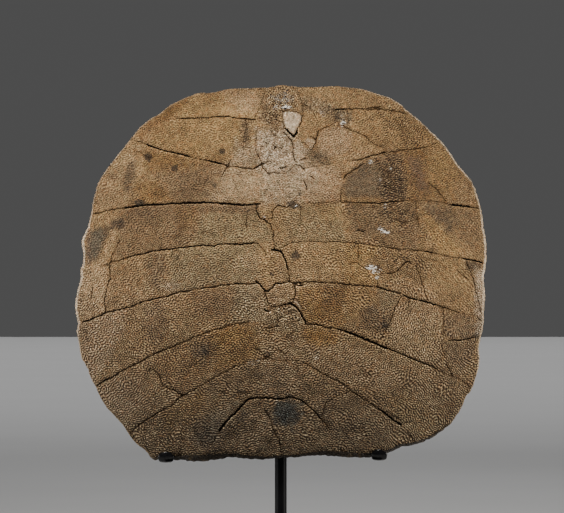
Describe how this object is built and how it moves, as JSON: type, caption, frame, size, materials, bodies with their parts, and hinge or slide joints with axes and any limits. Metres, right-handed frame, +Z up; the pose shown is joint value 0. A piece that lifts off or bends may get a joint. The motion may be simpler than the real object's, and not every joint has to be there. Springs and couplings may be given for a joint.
{
  "type": "fossil turtle shell",
  "caption": "Domed fossil carapace of a softshell turtle, pitted and cracked along its sutures, held upright by two claws on a black steel post and base plate.",
  "frame": {"origin": "middle of the footprint, on the surface that the base plate stands on", "axes": "+Z up, the domed outer side of the carapace faces -Y, +X is to the viewer's right"},
  "size_m": [0.4399, 0.18, 0.5276],
  "materials": {
    "fossil_bone": "matte, brown mineralised bone",
    "black_steel": "satin black paint",
    "black_felt": "matte black felt"
  },
  "bodies": {
    "root": {"carapace": "fossil_bone", "base_plate": "black_steel", "post_collar": "black_steel", "post": "black_steel", "lower_crossbar": "black_steel", "upper_crossbar": "black_steel", "left_claw": "black_steel", "right_claw": "black_steel", "left_pad": "black_felt", "right_pad": "black_felt"}
  },
  "joints": []
}
